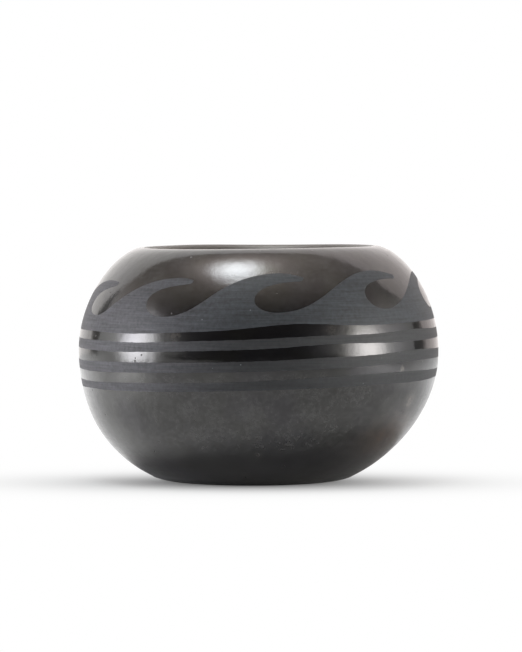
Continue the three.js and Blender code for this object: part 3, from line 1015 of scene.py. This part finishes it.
def white_backdrop(studio):
    """White paper behind the bowl: brighter upwards, and at its foot to the left, warm on the right."""
    material, add = new_material("white paper backdrop")
    place = add("TexCoord").outputs["Object"]
    parts = add("SeparateXYZ", (place,))
    across = parts.outputs["X"]
    slope = add("MapRange", {"Value": parts.outputs["Z"], "To Min": -0.3, "To Max": 0})
    level = add("MapRange", {"Value": parts.outputs["Z"], "To Min": 1.24, "To Max": 1.42})
    light = add("Math", (across, slope, level), operation="MULTIPLY_ADD")
    warm = add("MapRange", {"Value": across, "From Min": -0.2, "From Max": 0.5})
    tint = add("Mix", {"Factor": warm, "A": studio.sheet, "B": studio.sheet_warm}, data_type="RGBA")
    gain = add("Math", (warm, 0.06, 1), operation="MULTIPLY_ADD")
    light = add("Math", (light, gain), operation="MULTIPLY")
    glow = add("Emission", {"Color": tint, "Strength": light})
    add("OutputMaterial", {"Surface": glow})
    return material


def dark_shade_sheet(studio):
    """A dark grey sheet behind the foot of the backdrop that stands in for shade there, seen only where a
    shiny wall mirrors it.
    """
    material, add = new_material("dark curtain")
    shade_card = add("BsdfDiffuse", {"Color": studio.shade_sheet})
    add("OutputMaterial", {"Surface": shade_card})
    return material


def studio_room(studio):
    """White for the camera, a warm ceiling and glow over a dark front for shiny walls, else plain grey."""
    world = bpy.data.worlds.new("studio")
    bpy.context.scene.world = world
    world.use_nodes = True
    world.node_tree.nodes.clear()
    add = functools.partial(node, world.node_tree)
    direction = add("TexCoord").outputs["Generated"]
    parts = add("SeparateXYZ", (direction,))
    # Brighter towards the back and overhead, then the glow round each lamp is added
    ends = {"From Min": 0.3, "From Max": 0.7, "To Min": studio.front_light, "To Max": studio.back_light}
    behind = add("MapRange", {"Value": parts.outputs["Y"], **ends}, interpolation_type="SMOOTHSTEP")
    above = add(
        "MapRange",
        {"Value": parts.outputs["Z"], "From Min": 0.5, "From Max": 1},
        interpolation_type="SMOOTHSTEP",
    )
    ceiling = add("Math", (above, studio.ceiling_light), operation="MULTIPLY")
    light = add("Math", (behind, ceiling), operation="MAXIMUM")
    for turn, rise, sharp, strength in GLOWS:
        turn = math.radians(turn)
        rise = math.radians(rise)
        middle = (math.cos(rise) * math.sin(turn), -math.cos(rise) * math.cos(turn), math.sin(rise))
        near = add("VectorMath", (direction, middle), operation="DOT_PRODUCT")
        near = add("Math", (near, 0), operation="MAXIMUM")
        bell = add("Math", (near, sharp), operation="POWER")
        light = add("Math", (bell, strength, light), operation="MULTIPLY_ADD")
    warm = add("MapRange", {"Value": parts.outputs["Z"], "From Min": 0.2, "From Max": 0.6})
    tint = add("Mix", {"Factor": warm, "A": (1, 1, 1), "B": studio.room}, data_type="RGBA")
    room = add("Background", {"Color": tint, "Strength": light})
    plain = add("Background", {"Color": (1, 1, 1), "Strength": studio.plain_light})
    white = add("Background", {"Color": (1, 1, 1), "Strength": 1})
    path = add("LightPath")
    lit = add("MixShader", (path.outputs["Is Glossy Ray"], plain, room))
    seen = add("MixShader", (path.outputs["Is Camera Ray"], lit, white))
    add("OutputWorld", {"Surface": seen})


class BOWL_OT_stage(bpy.types.Operator):
    """Makes the floor, the backdrop, the lamps and the camera"""

    bl_idname = "bowl.stage"
    bl_label = "Stage"

    def execute(self, context):
        studio = context.scene.bowl_studio
        context.scene.view_settings.view_transform = "Standard"
        studio_room(studio)
        signs = [(-1, -1), (1, -1), (1, 1), (-1, 1)]
        floor = [(i * FLOOR_HALF, j * FLOOR_HALF, 0) for i, j in signs]
        sheet = [(x, BACKDROP_Y, z) for x, z in BACKDROP_OUTLINE]
        shade_sheet = [(x, SHADE_SHEET_Y, z) for x, z in SHADE_SHEET_OUTLINE]
        add_plane("floor", floor, white_floor(studio))
        add_plane("backdrop", sheet, white_backdrop(studio)).visible_camera = False
        add_plane("shade_sheet", shade_sheet, dark_shade_sheet(studio)).visible_camera = False
        # The halo is the glow that the top lamp throws on the ceiling round it
        for name, lamp, strength, tint in (
            ("top_lamp", TOP_LAMP, studio.top_light, studio.top_tint),
            ("top_halo", TOP_HALO, studio.halo_light, studio.room),
        ):
            middle, half_width, half_depth, edge = lamp
            soft_lamp(name, middle, (half_width, 0, 0), (0, -half_depth, 0), edge, strength, tint)
        for name, lamp, strength, tint in (
            ("left_lamp", LEFT_LAMP, studio.left_light, studio.left_tint),
            ("right_lamp", RIGHT_LAMP, studio.right_light, studio.right_tint),
        ):
            degrees, half_width, half_height, height = lamp
            turn = math.radians(degrees)
            middle = (STRIP_DISTANCE * math.sin(turn), -STRIP_DISTANCE * math.cos(turn), height)
            across = (half_width * math.cos(turn), half_width * math.sin(turn), 0)
            soft_lamp(name, middle, across, (0, 0, half_height), STRIP_EDGE, strength, tint)
        data = bpy.data.cameras.new("camera")
        data.lens = studio.lens
        data.sensor_width = studio.sensor
        camera = bpy.data.objects.new("camera", data)
        camera.location = (studio.camera_aside, -studio.camera_distance, studio.camera_height)
        camera.rotation_euler = (math.pi / 2 - studio.camera_tilt, 0, 0)
        context.scene.collection.objects.link(camera)
        context.scene.camera = camera
        return {"FINISHED"}


class BOWL_PT_panel(bpy.types.Panel):
    """Lists the bowl's operators"""

    bl_idname = "BOWL_PT_panel"
    bl_label = "Blackware Bowl"
    bl_space_type = "VIEW_3D"
    bl_region_type = "UI"
    bl_category = "Bowl"

    def draw(self, context):
        for operator in OPERATORS:
            self.layout.operator(operator.bl_idname)


GROUPS = {
    "bowl_body": BowlBody,
    "bowl_painting": BowlPainting,
    "bowl_finish": BowlFinish,
    "bowl_studio": BowlStudio,
}
OPERATORS = (BOWL_OT_clay, BOWL_OT_slip, BOWL_OT_frieze, BOWL_OT_stripes, BOWL_OT_stage)


def register():
    for kind in (*GROUPS.values(), *OPERATORS, BOWL_PT_panel):
        bpy.utils.register_class(kind)
    for name, group in GROUPS.items():
        setattr(bpy.types.Scene, name, bpy.props.PointerProperty(type=group))


def unregister():
    for name in GROUPS:
        delattr(bpy.types.Scene, name)
    for kind in (BOWL_PT_panel, *reversed(OPERATORS), *reversed(GROUPS.values())):
        bpy.utils.unregister_class(kind)


def main():
    register()
    bpy.ops.bowl.clay()
    bpy.ops.bowl.slip()
    bpy.ops.bowl.frieze()
    bpy.ops.bowl.stripes()
    bpy.ops.bowl.stage()


if __name__ == "__main__":
    main()
